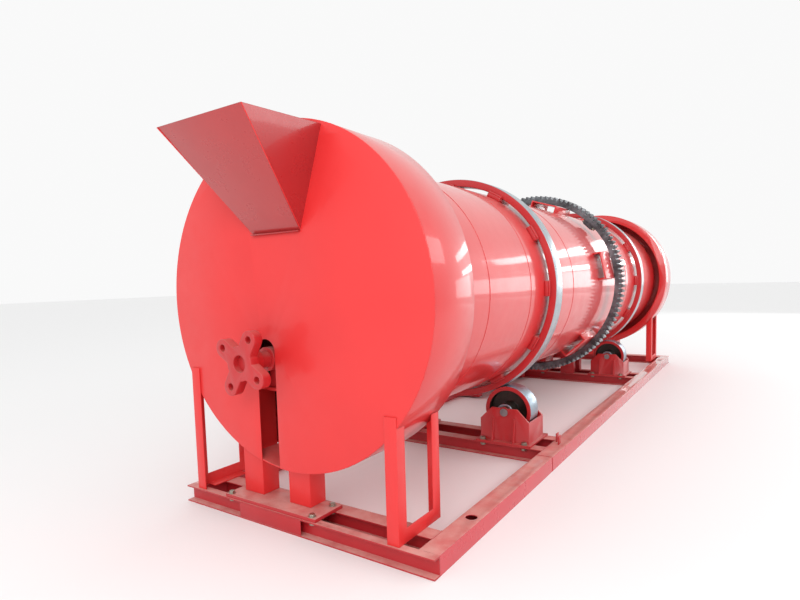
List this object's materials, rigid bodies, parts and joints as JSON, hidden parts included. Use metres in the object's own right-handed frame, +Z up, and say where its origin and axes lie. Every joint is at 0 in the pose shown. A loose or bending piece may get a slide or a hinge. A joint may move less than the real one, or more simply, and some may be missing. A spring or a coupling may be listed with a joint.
{
  "type": "rotary drum dryer",
  "caption": "Rotary drum dryer on a steel skid: feed hopper and hood, drum with riding rings and girth gear on support rollers, breaker shaft, discharge hood and geared drive.",
  "frame": {"origin": "on the floor, centre of the anchor bolt rectangle in the side beams", "axes": "+X across the machine, away from the drive side; +Y from the feed end to the discharge end; +Z up"},
  "size_m": [2.137, 7.401, 2.199],
  "materials": {
    "red_paint": "gloss enamel over steel plate",
    "frame_paint": "enamel over rolled sections, dusty on top",
    "turned_steel": "machined and run-in rolling surface",
    "gear_steel": "greased cast steel teeth",
    "shaft_steel": "turned shaft",
    "bronze": "bush bronze",
    "bolt_steel": "zinc-plated bolts",
    "drive_paint": "blue-grey drive enamel",
    "bare_plate": "bare, worn mild steel inside the drum",
    "cast_paint": "painted casting"
  },
  "bodies": {
    "frame": {"breaker_bearings": "cast_paint", "discharge_back_plate": "red_paint", "discharge_chute": "red_paint", "discharge_hood_legs": "red_paint", "discharge_hood_rim": "red_paint", "drive_deck": "frame_paint", "drive_plinths": "frame_paint", "end_channels": "frame_paint", "feed_chute": "bare_plate", "feed_face_plate": "red_paint", "feed_hood_legs": "red_paint", "feed_hood_rim": "red_paint", "feed_hopper": "red_paint", "frame_bolts": "bolt_steel", "frame_plates": "frame_paint", "gas_outlet": "red_paint", "motor_fan_cover": "drive_paint", "motor_frame": "drive_paint", "pedestal_base_plate": "frame_paint", "pedestal_cap_plate": "frame_paint", "pedestal_cross_beams": "frame_paint", "pedestal_posts": "frame_paint", "pinion_bearings": "cast_paint", "pinion_pedestals": "frame_paint", "rear_bearing_pedestal": "frame_paint", "reducer_casing": "drive_paint", "roller_axles": "shaft_steel", "roller_bracket_front_left": "red_paint", "roller_bracket_front_right": "red_paint", "roller_bracket_rear_left": "red_paint", "roller_bracket_rear_right": "red_paint", "roller_bushes": "bronze", "side_beam_left": "frame_paint", "side_beam_right": "frame_paint", "station_cross_beams": "frame_paint", "thrust_pedestals": "frame_paint", "thrust_pins": "shaft_steel"},
    "drum": {"drum_shell": "red_paint", "feed_end_dam": "bare_plate", "front_riding_ring": "turned_steel", "rear_riding_ring": "turned_steel", "ring_filler_bars": "red_paint", "ring_stops": "red_paint", "lifting_flights": "bare_plate", "girth_gear": "gear_steel", "gear_spring_plates": "red_paint"},
    "front_right_roller": {"support_roller_front_right": "turned_steel"},
    "front_left_roller": {"support_roller_front_left": "turned_steel"},
    "rear_right_roller": {"support_roller_rear_right": "turned_steel"},
    "rear_left_roller": {"support_roller_rear_left": "turned_steel"},
    "thrust_near": {"thrust_roller_near": "turned_steel"},
    "thrust_far": {"thrust_roller_far": "turned_steel"},
    "pinion_set": {"pinion": "gear_steel", "pinion_shaft": "shaft_steel", "pinion_coupling": "cast_paint"},
    "motor_rotor": {"motor_shaft": "shaft_steel", "motor_coupling": "cast_paint"},
    "breaker": {"breaker_shaft": "cast_paint", "breaker_coupling_flange": "cast_paint", "beater_arms": "bare_plate"}
  },
  "joints": [
    {"name": "drum_turn", "type": "hinge", "parent": "frame", "child": "drum", "pos_m": [0, 0, 1.262], "axis": [0, 1, 0], "continuous": true},
    {"name": "front_right_roller_turn", "type": "hinge", "parent": "frame", "child": "front_right_roller", "pos_m": [0.4822, -1.56, 0.3357], "axis": [0, 1, 0], "continuous": true},
    {"name": "front_left_roller_turn", "type": "hinge", "parent": "frame", "child": "front_left_roller", "pos_m": [-0.4822, -1.56, 0.3357], "axis": [0, 1, 0], "continuous": true},
    {"name": "rear_right_roller_turn", "type": "hinge", "parent": "frame", "child": "rear_right_roller", "pos_m": [0.4822, 1.618, 0.3357], "axis": [0, 1, 0], "continuous": true},
    {"name": "rear_left_roller_turn", "type": "hinge", "parent": "frame", "child": "rear_left_roller", "pos_m": [-0.4822, 1.618, 0.3357], "axis": [0, 1, 0], "continuous": true},
    {"name": "thrust_near_turn", "type": "hinge", "parent": "frame", "child": "thrust_near", "pos_m": [0, 1.4777, 0.422], "axis": [0, 0, 1], "continuous": true},
    {"name": "thrust_far_turn", "type": "hinge", "parent": "frame", "child": "thrust_far", "pos_m": [0, 1.7583, 0.422], "axis": [0, 0, 1], "continuous": true},
    {"name": "pinion_turn", "type": "hinge", "parent": "frame", "child": "pinion_set", "pos_m": [-0.68393, 0.251, 0.44693], "axis": [0, 1, 0], "continuous": true},
    {"name": "motor_turn", "type": "hinge", "parent": "frame", "child": "motor_rotor", "pos_m": [-0.91393, 1.014, 0.44693], "axis": [0, 1, 0], "continuous": true},
    {"name": "breaker_turn", "type": "hinge", "parent": "frame", "child": "breaker", "pos_m": [-0.148, -3.32, 0.944], "axis": [0, 1, 0], "continuous": true}
  ],
  "couplings": [
    {"joint": "front_right_roller_turn", "follows": "drum_turn", "ratio": -4.6739},
    {"joint": "front_left_roller_turn", "follows": "drum_turn", "ratio": -4.6739},
    {"joint": "rear_right_roller_turn", "follows": "drum_turn", "ratio": -4.6739},
    {"joint": "rear_left_roller_turn", "follows": "drum_turn", "ratio": -4.6739},
    {"joint": "thrust_near_turn", "follows": "drum_turn", "ratio": 12.086},
    {"joint": "thrust_far_turn", "follows": "drum_turn", "ratio": -12.086},
    {"joint": "pinion_turn", "follows": "drum_turn", "ratio": -6},
    {"joint": "motor_turn", "follows": "drum_turn", "ratio": -72}
  ]
}
